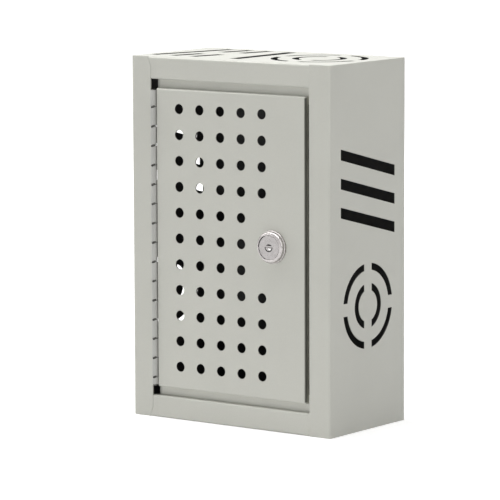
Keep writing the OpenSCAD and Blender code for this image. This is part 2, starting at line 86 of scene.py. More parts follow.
class Slot(Enum):
    """The record's material slots."""

    BODY_PAINT = "body_paint"
    HINGE_PAINT = "hinge_paint"
    NICKEL = "nickel"
    ZINC = "zinc_plate"


# ---------------------------------------------------------------- finishes


@dataclass(frozen=True)
class Zone:
    """A box where shade is painted into a finish, or the part of that box that lies near an axis."""

    low: Point
    high: Point
    tone: Colour = PAINTED_SHADE
    feather: float = 0.25 * MM
    radius: float = 0.0
    core: float = 0.0
    centre: Point = (0.0, 0.0, 0.0)
    across: Point = (1.0, 1.0, 1.0)


@dataclass(frozen=True)
class Grain:
    """A noise pattern, with its features per metre, its octaves and the values that count."""

    scale: float
    detail: float = 3.0
    stretch: Point | None = None
    roughness: float = 0.5
    span: Pair = NOISE_SPAN


class Graph:
    """One material's node tree, built by short calls."""

    def __init__(self, name: str) -> None:
        """Starts a material that has a principled shader and an output.

        Args:
            name: The material's name.
        """
        self.material = bpy.data.materials.new(name)
        self.material.use_nodes = True
        self.tree = self.material.node_tree
        self.tree.nodes.clear()
        self.output = self.tree.nodes.new("ShaderNodeOutputMaterial")
        self.shader = self.tree.nodes.new("ShaderNodeBsdfPrincipled")
        self.join(self.shader.outputs["BSDF"], self.output.inputs["Surface"])
        self.coords = self.tree.nodes.new("ShaderNodeTexCoord").outputs["Object"]

    @classmethod
    def of_world(cls, world: bpy.types.World) -> "Graph":
        """Starts a world's node tree, which has only its output.

        Args:
            world: The world.

        Returns:
            Its graph.
        """
        graph = cls.__new__(cls)
        graph.tree = world.node_tree
        graph.tree.nodes.clear()
        graph.output = graph.tree.nodes.new("ShaderNodeOutputWorld")
        return graph

    def background(self, strength: float) -> Socket:
        """Adds a plain white background light.

        Args:
            strength: Its strength.

        Returns:
            The light.
        """
        node = self.tree.nodes.new("ShaderNodeBackground")
        node.inputs["Color"].default_value = (1.0, 1.0, 1.0, 1.0)
        node.inputs["Strength"].default_value = strength
        return node.outputs["Background"]

    def join(self, source: Socket, target: Socket) -> None:
        """Links an output to an input."""
        self.tree.links.new(source, target)

    def constant(self, **values: float | Colour) -> None:
        """Sets the shader's own sockets.

        Args:
            values: Socket names, with underscores for spaces, and their values.
        """
        for key, value in values.items():
            socket = self.shader.inputs[key.replace("_", " ")]
            socket.default_value = (*value, 1.0) if isinstance(value, tuple) else value

    def drive(self, socket: str, value: Socket) -> None:
        """Drives one of the shader's sockets by a pattern."""
        self.join(value, self.shader.inputs[socket])

    def noise(self, grain: Grain) -> Socket:
        """Adds a noise pattern on the piece's own coordinates.

        Args:
            grain: What the pattern is like.

        Returns:
            Its raw value, from 0 to 1.
        """
        node = self.tree.nodes.new("ShaderNodeTexNoise")
        node.inputs["Scale"].default_value = grain.scale
        node.inputs["Detail"].default_value = grain.detail
        node.inputs["Roughness"].default_value = grain.roughness
        self.join(self.mapped(grain.stretch), node.inputs["Vector"])
        return node.outputs["Fac"]

    def spread(self, grain: Grain, low: float = 0.0, high: float = 1.0) -> Socket:
        """Adds a noise pattern and spreads the values that count from low to high."""
        return self.ramp(self.noise(grain), grain.span, low, high)

    def weigh(self, first: Socket, share: float, second: Socket, rest: float) -> Socket:
        """Adds two patterns, each by its share."""
        return self.maths("ADD", self.maths("MULTIPLY", first, share), self.maths("MULTIPLY", second, rest))

    def mapped(self, stretch: Point | None = None, centre: Point | None = None) -> Socket:
        """Stretches or centres the piece's coordinates.

        Args:
            stretch: Scale along each axis.
            centre: The point that becomes the origin.

        Returns:
            The changed coordinates.
        """
        if stretch is None and centre is None:
            return self.coords
        scale = stretch or (1.0, 1.0, 1.0)
        node = self.tree.nodes.new("ShaderNodeMapping")
        node.inputs["Scale"].default_value = scale
        if centre is not None:
            node.inputs["Location"].default_value = tuple(-c * s for c, s in zip(centre, scale))
        self.join(self.coords, node.inputs["Vector"])
        return node.outputs["Vector"]

    def maths(self, operation: str, a: Input, b: Input = 0.0) -> Socket:
        """Adds a maths step.

        Args:
            operation: The step's name, such as MULTIPLY.
            a: The first value.
            b: The second value.

        Returns:
            The result.
        """
        node = self.tree.nodes.new("ShaderNodeMath")
        node.operation = operation
        for socket, value in zip(node.inputs, (a, b)):
            if isinstance(value, Socket):
                self.join(value, socket)
            else:
                socket.default_value = value
        return node.outputs["Value"]

    def ramp(self, value: Socket, span: Pair, low: float, high: float) -> Socket:
        """Maps a value from one range to another, held at its ends.

        Args:
            value: The value to map.
            span: The input range.
            low: The result at its start.
            high: The result at its end.

        Returns:
            The mapped value.
        """
        node = self.tree.nodes.new("ShaderNodeMapRange")
        for key, number in zip(("From Min", "From Max", "To Min", "To Max"), (*span, low, high)):
            node.inputs[key].default_value = number
        self.join(value, node.inputs["Value"])
        return node.outputs["Result"]

    def blend(self, amount: Socket, first: Colour | Socket, second: Colour) -> Socket:
        """Mixes two colours.

        Args:
            amount: 0 for the first, 1 for the second.
            first: A colour, or a pattern's colour.
            second: A colour.

        Returns:
            The mixed colour.
        """
        node = self.tree.nodes.new("ShaderNodeMix")
        node.data_type = "RGBA"
        if isinstance(first, Socket):
            self.join(first, node.inputs[6])
        else:
            node.inputs[6].default_value = (*first, 1.0)
        node.inputs[7].default_value = (*second, 1.0)
        self.join(amount, node.inputs["Factor"])
        return node.outputs[2]

    def bump(self, height: Socket, distance: float) -> None:
        """Raises the surface by a pattern.

        Args:
            height: The pattern.
            distance: The height of a full step, in metres.
        """
        node = self.tree.nodes.new("ShaderNodeBump")
        node.inputs["Strength"].default_value = 1.0
        node.inputs["Distance"].default_value = distance
        self.join(height, node.inputs["Height"])
        self.drive("Normal", node.outputs["Normal"])

    def distance(self, coords: Socket | None = None) -> Socket:
        """Measures how far each point lies from the origin of some coordinates, in metres.

        Args:
            coords: The coordinates, or None for the piece's own.

        Returns:
            The distance.
        """
        node = self.tree.nodes.new("ShaderNodeVectorMath")
        node.operation = "LENGTH"
        self.join(coords or self.coords, node.inputs[0])
        return node.outputs["Value"]

    def mark(self, zone: Zone) -> Socket:
        """Marks a zone of the piece's own coordinates.

        Args:
            zone: The zone.

        Returns:
            1 inside the zone and 0 outside it, with its feather between.
        """
        split = self.tree.nodes.new("ShaderNodeSeparateXYZ")
        self.join(self.coords, split.inputs["Vector"])
        limits = [(split.outputs[axis], *ends) for axis, *ends in zip("XYZ", zone.low, zone.high)]
        if zone.radius > 0.0:
            away = self.distance(self.mapped(zone.across, zone.centre))
            limits.append((away, zone.core - zone.feather, zone.radius))
        depth: Input = 1.0
        for here, start, end in limits:
            depth = self.maths("MINIMUM", depth, self.maths("SUBTRACT", here, start))
            depth = self.maths("MINIMUM", depth, self.maths("SUBTRACT", end, here))
        return self.ramp(depth, (-zone.feather / 2, zone.feather / 2), 0.0, 1.0)

    def lay_shade(self, colour: Socket, zones: Sequence[Zone]) -> Socket:
        """Lays each zone's own tone over a colour, as painted shade.

        Args:
            colour: The finish's colour.
            zones: Where shade is painted in.

        Returns:
            The colour with the zones in it.
        """
        for zone in zones:
            colour = self.blend(self.mark(zone), colour, zone.tone)
        return colour

    def shown(self) -> Socket:
        """Tells a surface that is seen apart from the light that it gives.

        Returns:
            1 for what the camera, a reflection or glass sees, and 0 for the light itself.
        """
        path = self.tree.nodes.new("ShaderNodeLightPath")
        direct = self.maths("MAXIMUM", path.outputs["Is Camera Ray"], path.outputs["Is Glossy Ray"])
        return self.maths("MAXIMUM", direct, path.outputs["Is Transmission Ray"])


def shade(colour: Colour, factor: float) -> Colour:
    """A colour made lighter or darker by a factor."""
    return tuple(min(1.0, c * factor) for c in colour)


@dataclass(frozen=True)
class PowderCoat:
    """Baked powder paint with a fine orange peel, with near-black painted shade in its shade zones."""

    name: str
    colour: Colour = (0.515, 0.515, 0.468)
    gloss: float = 0.40
    gloss_patches: float = 60.0
    gloss_spread: Pair = (-0.04, 0.05)
    reflectance: float = 0.5
    peel_size: float = 1.25 * MM
    peel_height: float = 0.034 * MM
    peel_share: float = 0.7
    wave_share: float = 0.9
    waves_per_peel: float = 0.22
    mottle: float = 0.036
    clouds: float = 16.0
    cloud_share: float = 0.45
    grains_per_peel: float = 1.3
    shade_zones: tuple[Zone, ...] = ()

    def make(self) -> Material:
        """Builds the coat, with painted shade in its shade zones.

        Returns:
            The material.
        """
        graph = Graph(self.name)
        peel = graph.noise(Grain(1.0 / self.peel_size, detail=1.5))
        waves = graph.noise(Grain(self.waves_per_peel / self.peel_size, detail=1.0))
        graph.bump(graph.weigh(peel, self.peel_share, waves, self.wave_share), self.peel_height)
        cloud = graph.noise(Grain(self.clouds, detail=2.0))
        grain = graph.noise(Grain(self.grains_per_peel / self.peel_size, detail=2.0, roughness=0.7))
        tint = graph.weigh(cloud, self.cloud_share, grain, 1.0 - self.cloud_share)
        dull, pale = (shade(self.colour, 1.0 + side * self.mottle) for side in (-1, 1))
        colour = graph.blend(graph.ramp(tint, NOISE_SPAN, 0.0, 1.0), dull, pale)
        graph.drive("Base Color", graph.lay_shade(colour, self.shade_zones))
        low, high = (self.gloss + change for change in self.gloss_spread)
        graph.drive("Roughness", graph.spread(Grain(self.gloss_patches), low, high))
        graph.constant(Specular_IOR_Level=self.reflectance)
        return graph.material


@dataclass(frozen=True)
class SatinNickel:
    """Plated die-cast metal, turned on its round faces about the lock's axis."""

    name: str
    centre: Point
    colour: Colour = (0.46, 0.437, 0.43)
    gloss: float = 0.24
    gloss_spread: Pair = (-0.05, 0.08)
    ring_gap: float = 0.36 * MM
    ring_wobble: float = 0.6
    ring_share: float = 0.35
    relief: float = 0.004 * MM
    patina: float = 0.05
    pits: Grain = Grain(1500.0, roughness=0.6)
    bloom: Grain = Grain(240.0)
    wear: Grain = Grain(500.0, detail=2.0)
    shade_marks: tuple[Zone, ...] = ()

    def make(self) -> Material:
        """Builds the plating, with its turned rings and its painted shade.

        Returns:
            The material.
        """
        graph = Graph(self.name)
        rings = graph.tree.nodes.new("ShaderNodeTexWave")
        rings.wave_type = "RINGS"
        rings.rings_direction = "Y"
        rings.wave_profile = "SIN"
        rings.inputs["Scale"].default_value = WAVE_GAP / self.ring_gap
        rings.inputs["Distortion"].default_value = self.ring_wobble
        rings.inputs["Detail"].default_value = 1.0
        graph.join(graph.mapped(centre=self.centre), rings.inputs["Vector"])
        pits = graph.noise(self.pits)
        graph.bump(graph.weigh(rings.outputs["Fac"], self.ring_share, pits, 1.0), self.relief)
        dull, pale = (shade(self.colour, 1.0 + side * self.patina) for side in (-1, 1))
        colour = graph.blend(graph.spread(self.bloom), dull, pale)
        graph.drive("Base Color", graph.lay_shade(colour, self.shade_marks))
        low, high = (self.gloss + change for change in self.gloss_spread)
        graph.drive("Roughness", graph.spread(self.wear, low, high))
        graph.constant(Metallic=1.0)
        return graph.material


@dataclass(frozen=True)
class BareMetal:
    """Unpainted metal in two blended tones, with a fine relief."""

    name: str
    colour: Colour
    second: Colour
    bloom: Grain
    wear: Grain
    gloss: Pair
    pits: Grain
    relief: float

    def make(self) -> Material:
        """Builds the metal from its two tones, its wear and its pits.

        Returns:
            The material.
        """
        graph = Graph(self.name)
        graph.drive("Base Color", graph.blend(graph.spread(self.bloom), self.colour, self.second))
        graph.drive("Roughness", graph.spread(self.wear, *self.gloss))
        graph.bump(graph.noise(self.pits), self.relief)
        graph.constant(Metallic=1.0)
        return graph.material


ZINC_PLATE = BareMetal(
    "bright_zinc_plate",
    colour=(0.52, 0.55, 0.60),
    second=(0.60, 0.58, 0.50),
    bloom=Grain(130.0, detail=2.0, span=(0.35, 0.65)),
    wear=Grain(260.0, stretch=(1.0, 1.0, 9.0)),
    gloss=(0.26, 0.43),
    pits=Grain(900.0),
    relief=0.006 * MM,
)
# Blackened oxide pin; its dark tone also stands in as painted shade in the knuckle notches.
HINGE_WIRE = BareMetal(
    "blackened_hinge_wire",
    colour=(0.11, 0.108, 0.10),
    second=(0.077, 0.0756, 0.07),
    bloom=Grain(700.0, detail=4.0, span=(0.45, 0.75)),
    wear=Grain(1400.0, stretch=(1.0, 1.0, 0.03)),
    gloss=(0.3, 0.5),
    pits=Grain(1400.0, stretch=(1.0, 1.0, 0.03)),
    relief=0.006 * MM,
)
WAFER_BRASS = BareMetal(
    "stamped_wafer_brass",
    colour=(0.60, 0.42, 0.17),
    second=(0.432, 0.3024, 0.1224),
    bloom=Grain(420.0, span=(0.35, 0.7)),
    wear=Grain(420.0, span=(0.35, 0.7)),
    gloss=(0.28, 0.45),
    pits=Grain(1600.0, detail=2.0),
    relief=0.004 * MM,
)


@dataclass(frozen=True)
class StudioFloor:
    """Matte floor that shows white and keeps the box's shadow."""

    name: str
    colour: Colour = (0.75, 0.75, 0.75)
    roughness: float = 0.9
    dullest: float = 0.995
    clouds: float = 3.0
    near_lift: float = 0.40
    near: float = 0.5
    far: float = 1.6

    def make(self) -> Material:
        """Builds a floor that glows white, and less so near the box, where its shadow falls.

        Returns:
            The material.
        """
        graph = Graph(self.name)
        tone = graph.spread(Grain(self.clouds, detail=2.0))
        graph.drive("Base Color", graph.blend(tone, shade(self.colour, self.dullest), self.colour))
        lift = graph.ramp(graph.distance(), (self.near, self.far), self.near_lift, 1.0)
        graph.drive("Emission Strength", graph.maths("MULTIPLY", graph.shown(), lift))
        graph.constant(Roughness=self.roughness, Specular_IOR_Level=0.0, Emission_Color=(1.0, 1.0, 1.0))
        return graph.material


# ---------------------------------------------------------------- bench work


def release() -> None:
    """Leaves edit mode if it is on, and deselects everything."""
    if bpy.context.object is not None and bpy.context.object.mode != "OBJECT":
        bpy.ops.object.mode_set(mode="OBJECT")
    bpy.ops.object.select_all(action="DESELECT")


def take(piece: Piece) -> None:
    """Makes a piece the only one selected, and active.

    Args:
        piece: The piece.
    """
    release()
    piece.select_set(True)
    bpy.context.view_layer.objects.active = piece


def adopt(name: str) -> Piece:
    """Names the primitive that was just added.

    Args:
        name: The piece's name.

    Returns:
        The piece.
    """
    piece = bpy.context.object
    piece.name = name
    piece.data.name = name
    return piece


def edit(piece: Piece) -> None:
    """Opens a piece in edit mode with nothing selected.

    Args:
        piece: The piece.
    """
    take(piece)
    bpy.ops.object.mode_set(mode="EDIT")
    bpy.ops.mesh.select_all(action="DESELECT")


def settle(piece: Piece) -> None:
    """Puts a finished piece's place into its mesh, so that its object sits at the origin."""
    take(piece)
    bpy.ops.object.transform_apply(location=True, rotation=True, scale=True)


def seal(piece: Piece, smooth_angle: float = SMOOTH_ANGLE) -> None:
    """Merges a piece's doubles, points its faces outwards and smooths its round faces.

    Args:
        piece: The piece.
        smooth_angle: Edges sharper than this many degrees stay crisp.
    """
    edit(piece)
    bpy.ops.mesh.select_all(action="SELECT")
    bpy.ops.mesh.remove_doubles(threshold=MERGE)
    bpy.ops.mesh.normals_make_consistent(inside=False)
    take(piece)
    bpy.ops.object.shade_smooth_by_angle(angle=radians(smooth_angle))


def bevel_edges(piece: Piece, width: float, angle: float, segments: int = 2) -> bpy.types.Modifier:
    """Adds a live bevel to a piece.

    Args:
        piece: The piece.
        width: The bevel's width, in metres.
        angle: Edges sharper than this many degrees are bevelled.
        segments: The bevel's steps.

    Returns:
        The modifier.
    """
    bevel = piece.modifiers.new("edge", "BEVEL")
    bevel.width = width
    bevel.segments = segments
    bevel.limit_method = "ANGLE"
    bevel.angle_limit = radians(angle)
    bevel.use_clamp_overlap = True
    return bevel


def soften(piece: Piece, width: float, segments: int = 2) -> None:
    """Bevels a new piece's sharp edges, and applies the bevel.

    Args:
        piece: The piece.
        width: The bevel's width, in metres.
        segments: The bevel's steps.
    """
    take(piece)
    bevel = bevel_edges(piece, width, NEW_EDGE_ANGLE, segments)
    bpy.ops.object.modifier_apply(modifier=bevel.name)


def carve(piece: Piece, tool: Piece, operation: str = "DIFFERENCE") -> None:
    """Cuts one piece with another, applies the cut and bins the tool.

    Args:
        piece: The piece.
        tool: What cuts it.
        operation: DIFFERENCE, INTERSECT or UNION.
    """
    take(piece)
    bpy.ops.object.modifier_add(type="BOOLEAN")
    cut = piece.modifiers[-1]
    cut.operation = operation
    cut.solver = "EXACT"
    cut.object = tool
    bpy.ops.object.modifier_apply(modifier=cut.name)
    take(tool)
    bpy.ops.object.delete()


def turned(name: str, profile: Profile, steps: int) -> Piece:
    """Turns a closed profile about +Z, ring by ring.

    Args:
        name: The piece's name.
        profile: Radius and height of each ring, in order. A closed ring ends where it starts.
        steps: Sides of each ring.

    Returns:
        The piece.
    """
    release()
    (last_r, last_z), *rings = [(max(r, TINY), z) for r, z in profile]
    bpy.ops.mesh.primitive_circle_add(vertices=steps, radius=last_r, location=(0.0, 0.0, last_z))
    piece = adopt(name)
    bpy.ops.object.transform_apply(location=True)
    bpy.ops.object.mode_set(mode="EDIT")
    bpy.ops.mesh.select_mode(type="EDGE")
    bpy.ops.mesh.select_all(action="SELECT")
    for r, z in rings:
        bpy.ops.mesh.extrude_edges_move(TRANSFORM_OT_translate={"value": (0.0, 0.0, z - last_z)})
        bpy.ops.transform.resize(value=(r / last_r, r / last_r, 1.0), center_override=(0.0, 0.0, z))
        last_r, last_z = r, z
    seal(piece)
    return piece


def prism(name: str, outline: Profile, low: float, high: float) -> Piece:
    """Extrudes a closed outline from one height to another.

    Args:
        name: The piece's name.
        outline: Its corners, in order.
        low: Where it starts along Z.
        high: Where it ends along Z.

    Returns:
        The piece.
    """
    release()
    bpy.ops.mesh.primitive_circle_add(vertices=len(outline), radius=1.0, fill_type="NGON")
    piece = adopt(name)
    for vertex, (x, y) in zip(piece.data.vertices, outline):
        vertex.co = (x, y, low)
    edit(piece)
    bpy.ops.mesh.select_all(action="SELECT")
    bpy.ops.mesh.extrude_region_move(TRANSFORM_OT_translate={"value": (0.0, 0.0, high - low)})
    bpy.ops.mesh.select_all(action="SELECT")
    bpy.ops.mesh.normals_make_consistent(inside=False)
    bpy.ops.object.mode_set(mode="OBJECT")
    return piece


def arc(radius: float, start: float, end: float, steps: int) -> Outline:
    """Points along an arc about the origin, with both ends, by angles in degrees."""
    angles = [radians(start + (end - start) * index / steps) for index in range(steps + 1)]
    return [(radius * cos(angle), radius * sin(angle)) for angle in angles]


def shifted(points: Profile, x: float, y: float) -> Outline:
    """The same points, moved by x and y."""
    return [(px + x, py + y) for px, py in points]


def block(name: str, centre: Point, size: Point) -> Piece:
    """Adds a block, with its place and size in its mesh.

    Args:
        name: The block's name.
        centre: Its centre.
        size: Its size along each axis.

    Returns:
        The block.
    """
    release()
    bpy.ops.mesh.primitive_cube_add(size=1.0, location=(0.0, 0.0, 0.0))
    piece = adopt(name)
    piece.location = centre
    piece.scale = size
    settle(piece)
    return piece


def carve_crossed(piece: Piece, centre: Point, size: Point, first_turn: float = 0.0) -> None:
    """Cuts a piece with two blocks at right angles, both about +Z.

    Args:
        piece: The piece.
        centre: The first block's centre, before it is turned.
        size: A block's size.
        first_turn: The first block's turn, in degrees.
    """
    for turn in (0.0, 90.0):
        tool = block("slot", centre, size)
        tool.rotation_euler = (0.0, 0.0, radians(turn + first_turn))
        settle(tool)
        carve(piece, tool)


def ball(name: str, radius: float, rings: int) -> Piece:
    """Adds a ball for cutting, with twice as many segments as rings.

    Args:
        name: The ball's name.
        radius: Its radius.
        rings: Its rings, from pole to pole.

    Returns:
        The ball.
    """
    release()
    bpy.ops.mesh.primitive_uv_sphere_add(segments=2 * rings, ring_count=rings, radius=radius)
    return adopt(name)


def weld_up(name: str, parts: Sequence[Piece]) -> Piece:
    """Joins closed parts into one piece.

    Args:
        name: The joined piece's name.
        parts: The parts.

    Returns:
        The piece.
    """
    take(parts[0])
    for part in parts[1:]:
        part.select_set(True)
    bpy.ops.object.join()
    parts[0].name = name
    parts[0].data.name = name
    return parts[0]


def paint(piece: Piece, finish: Material) -> None:
    """Gives a whole piece one finish."""
    piece.data.materials.clear()
    piece.data.materials.append(finish)


def dress_node(name: str, finish: Material, edge: float = 0.0) -> None:
    """Gives a carried-over solid its finish, and rounds its sheared edges.

    Args:
        name: The solid's name.
        finish: Its material.
        edge: Width of the rounding along its edges, in metres, or 0 for none.
    """
    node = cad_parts[name]
    paint(node, finish)
    if edge > 0.0:
        weld = node.modifiers.new("weld", "WELD")
        weld.merge_threshold = TINY
        bevel_edges(node, edge, SOLID_EDGE_ANGLE)
    LOG.info("dressed %s in %s", name, finish.name)


def enter(piece: Piece, body: Body, slot: Slot, finish: Material, *stands_for: str) -> None:
    """Paints a piece, hangs it on its body and hides the solids that it replaces.

    Args:
        piece: The finished piece.
        body: The body that it rides on.
        slot: The record's slot for its finish; not used.
        finish: Its material.
        stands_for: The solids that it replaces.
    """
    paint(piece, finish)
    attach(piece, body.value)
    if stands_for:
        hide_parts(*stands_for)
    LOG.info("%s: %d faces on %s", piece.name, len(piece.data.polygons), body.value)


# ---------------------------------------------------------------- sub-assemblies


@dataclass
class Sheetwork:
    """The welded body: its five sheets, the two door stops, the lock's keeper and two ground welds."""

    edge: float = 0.22 * MM
    skin: float = 0.25 * MM
    rail_h: float = 22.2 * MM
    weld_w: float = 3.4 * MM
    weld_proud: float = 0.05 * MM
    weld_t: float = 0.4 * MM
    weld_round: float = 0.18 * MM
    weld_end: float = 10 / 3 * MM
    corner_fade: float = 7.0 * MM
    margin: float = 5.0 * MM
    stop_depth: float = 6.8 * MM
    sheets: tuple[str, ...] = ("left_side", "right_side", "top_panel", "bottom_panel")
    angles: tuple[str, ...] = ("door_stop_top", "door_stop_bottom", "lock_keeper")

    def build(self) -> None:
        """Paints every sheet and angle, and adds the welds between the rails and the lock stile."""
        # Painted shade: near-black inside the box and in the walls of its holes, fading out in the hinge's
        # deep corners.
        coat = PowderCoat("cabinet_powder_coat", shade_zones=(self.shaded_inside(), self.hinge_corner_shade())).make()
        for name in self.sheets + self.angles:
            dress_node(name, coat, self.edge)
        dress_node("back_panel", coat)
        low, high = self.shell
        self.weld("ground_weld_top", high.z - self.rail_h, high.z - self.weld_end, coat)
        self.weld("ground_weld_bottom", low.z + self.weld_end, low.z + self.rail_h, coat)

    @property
    def shell(self) -> tuple[Vector, Vector]:
        """The sheet body's lowest and highest corners.

        Returns:
            The two corners.
        """
        low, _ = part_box("left_side")
        _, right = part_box("right_side")
        _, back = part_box("back_panel")
        return low, Vector((right.x, back.y, right.z))

    def shaded_inside(self) -> Zone:
        """The inside of the box, from just under each sheet's skin and behind the stops, where shade is
        painted in near-black.

        Returns:
            The zone.
        """
        low, high = self.shell
        _, stop_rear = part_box("door_stop_top")
        skin = self.skin
        start = (low.x + skin, stop_rear.y - skin, low.z + skin)
        return Zone(start, (high.x - skin, high.y - skin, high.z - skin))

    def hinge_corner_shade(self) -> Zone:
        """Painted shade in the deep corners at the hinge's two ends, fading out away from them.

        Returns:
            The zone.
        """
        low, high = self.shell
        stop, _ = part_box("door_stop_top")
        near = low.y + self.stop_depth - self.corner_fade / 2
        start = (low.x + self.margin, near, low.z + self.margin)
        end = (stop.x, high.y - self.margin, high.z - self.margin)
        return Zone(start, end, feather=self.corner_fade)

    def weld(self, name: str, low: float, high: float, coat: Material) -> None:
        """Lays a weld over the seam between a rail and the lock stile, ground flat and painted.

        Args:
            name: The weld's name.
            low: Height of its lower end.
            high: Height of its upper end.
            coat: Its paint.
        """
        seam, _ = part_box("right_side")
        middle = (seam.x, seam.y - self.weld_proud + self.weld_t / 2, (low + high) / 2)
        bead = block(name, middle, (self.weld_w, self.weld_t, high - low))
        soften(bead, self.weld_round, segments=3)
        seal(bead)
        enter(bead, Body.CABINET, Slot.BODY_PAINT, coat)


@dataclass
class Door:
    """The perforated pan door."""

    edge: float = 0.2 * MM
    skin: float = 0.25 * MM
    margin: float = 3.0 * MM
    sheet_t: float = 1.5 * MM
    return_start: float = 0.5 * MM
    # Painted shade on the lock-side return: the blue share of each tone, and each band's depth behind the
    # face with its tone.
    shade_blue_share: float = 0.85
    return_shade_bands: tuple[Pair, ...] = ((6.4 * MM, 0.50), (4.6 * MM, 0.31), (2.8 * MM, 0.10))

    def build(self) -> None:
        """Paints the pan's outside, and paints shade into its holes, its inside and its return on the lock's
        side.
        """
        coat = PowderCoat("door_powder_coat", shade_zones=(self.shaded_inside(), *self.lock_return_shade()))
        dress_node("door_panel", coat.make(), self.edge)

    def shaded_inside(self) -> Zone:
        """The pan's inside and the walls of its holes, where shade is painted in near-black.

        Returns:
            The zone.
        """
        low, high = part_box("door_panel")
        inside = (low.x + self.margin, low.y + self.skin, low.z + self.margin)
        outside = (high.x - self.margin, high.y + self.margin, high.z - self.margin)
        return Zone(inside, outside)

    def lock_return_shade(self) -> tuple[Zone, ...]:
        """Painted shade on the folded return on the lock's side, darkest just behind the door's face and
        lighter further in.

        Returns:
            A zone for each band of tone.
        """
        low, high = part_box("door_panel")
        start = self.return_start
        inside = (high.x - self.sheet_t, low.y + start, low.z + self.sheet_t)
        bands = []
        for reach, tone in self.return_shade_bands:
            outside = (high.x + self.margin, low.y + reach, high.z - self.sheet_t)
            bands.append(Zone(inside, outside, (tone, tone, self.shade_blue_share * tone), feather=start))
        return tuple(bands)


@dataclass
class Hinge:
    """The continuous hinge, of two leaves rolled into knuckles and a blackened pin."""

    knuckle_r: float = 3.0 * MM
    leaf_t: float = 1.2 * MM
    pitch: float = 19.29 * MM
    top_knuckle: float = 16.5 * MM
    gap: float = 0.6 * MM
    end_gap: float = 2.6 * MM
    tab: float = 0.5 * MM
    roll_slit: float = 14.0
    notch_bearing: float = 24.0
    notch_tilt: float = 20.0
    notch_size: Point = (2.5 * MM, 2.3 * MM, 0.95 * MM)
    notch_out: float = 0.2 * MM
    shade_inset: float = 0.25 * MM
    corner_r: float = 3.0 * MM
    edge: float = 0.22 * MM
    weld_dimples: int = 6
    dimple_r: float = 4.0 * MM
    dimple_depth: float = 0.25 * MM
    dimple_rings: int = 10
    notch_rings: int = 12
    corner_steps: int = 6
    arc_steps: int = 28
    tone: Colour = (0.41, 0.41, 0.388)
    gloss: float = 0.42

    @property
    def axis(self) -> Pair:
        """The pin's axis, as its place along X and Y."""
        low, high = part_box("hinge_pin")
        return ((low.x + high.x) / 2, (low.y + high.y) / 2)

    @property
    def low(self) -> float:
        """Height of the hinge's lower end."""
        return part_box("hinge_door_leaf")[0].z

    @property
    def high(self) -> float:
        """Height of the hinge's upper end."""
        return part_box("hinge_frame_leaf")[1].z

    @property
    def bore(self) -> float:
        """Radius of the knuckles' bore."""
        return self.knuckle_r - self.leaf_t

    @property
    def near(self) -> float:
        """Distance from the pin's axis to where a plate starts."""
        return self.knuckle_r + self.tab

    def build(self) -> None:
        """Makes both leaves with their knuckles, and dresses the pin."""
        # Painted shade: near-black in the knuckles' ends, notches and bores, so that the joints read dark.
        coat = PowderCoat("hinge_powder_coat", self.tone, self.gloss, shade_zones=(self.knuckle_shade(),)).make()
        frame_low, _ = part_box("hinge_frame_leaf")
        frame_leaf = self.leaf("frame_hinge_leaf", 0, -1, self.axis[0] - frame_low.x)
        enter(frame_leaf, Body.CABINET, Slot.HINGE_PAINT, coat, "hinge_frame_leaf")
        _, door_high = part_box("hinge_door_leaf")
        door_leaf = self.leaf("door_hinge_leaf", 1, 1, door_high.x - self.axis[0])
        enter(door_leaf, Body.DOOR, Slot.HINGE_PAINT, coat, "hinge_door_leaf")
        dress_node("hinge_pin", HINGE_WIRE.make(), self.edge)

    def knuckle_shade(self) -> Zone:
        """The knuckles' cut ends, notches and bores, where shade is painted in near-black.

        Returns:
            The zone.
        """
        x, y = self.axis
        r = self.knuckle_r
        low, high = (x - r, y - r, self.low - r), (x + r, y + r, self.high + r)
        return Zone(low, high, radius=r - self.shade_inset, centre=(x, y, 0.0), across=(1.0, 1.0, 0.0))

    def ends(self) -> list[float]:
        """The heights of the joints between knuckles, from the top down, with the hinge's two ends.

        Returns:
            The heights.
        """
        heights = [self.high]
        height = self.high - self.top_knuckle
        while height - self.low > 2 * self.end_gap + self.gap:
            heights.append(height)
            height -= self.pitch
        return heights + [self.low]

    def leaf(self, name: str, first: int, side: int, reach: float) -> Piece:
        """Makes one leaf: its plate, and every second knuckle.

        Args:
            name: The leaf's name.
            first: Its topmost knuckle, counted from the top.
            side: -1 for the leaf on the frame and 1 for the one on the door.
            reach: Distance from the pin's axis to the plate's far edge.

        Returns:
            The leaf.
        """
        parts = [self.plate(side, reach)]
        heights = self.ends()
        last = len(heights) - 2
        for index in range(first, last + 1, 2):
            top = heights[index] - (self.gap / 2 if index > 0 else 0.0)
            bottom = heights[index + 1] + (self.gap / 2 if index < last else 0.0)
            notched = [h for h, open_end in ((top, index > 0), (bottom, index < last)) if open_end]
            parts.append(self.knuckle(side, bottom, top, notched))
        leaf = weld_up(name, parts)
        leaf.location = (*self.axis, 0.0)
        settle(leaf)
        seal(leaf)
        return leaf

    def knuckle(self, side: int, bottom: float, top: float, notched: Sequence[float]) -> Piece:
        """Rolls one knuckle round the pin, with its tab.

        Args:
            side: The side that the tab runs to.
            bottom: Height of the knuckle's lower end.
            top: Height of its upper end.
            notched: Heights of the ends that meet another knuckle, which are cut back.

        Returns:
            The knuckle.
        """
        end = 90.0 - (360.0 - self.roll_slit)
        outer = arc(self.knuckle_r, 90.0, end, self.arc_steps)
        inner = arc(self.bore, end, 90.0, self.arc_steps)
        outline = [(-self.near, self.knuckle_r), *outer, *inner, (-self.near, self.bore)]
        if side > 0:
            outline = [(-x, y) for x, y in reversed(outline)]
        piece = prism("knuckle", outline, bottom, top)
        soften(piece, self.edge)
        for height in notched:
            carve(piece, self.notch(height))
        return piece

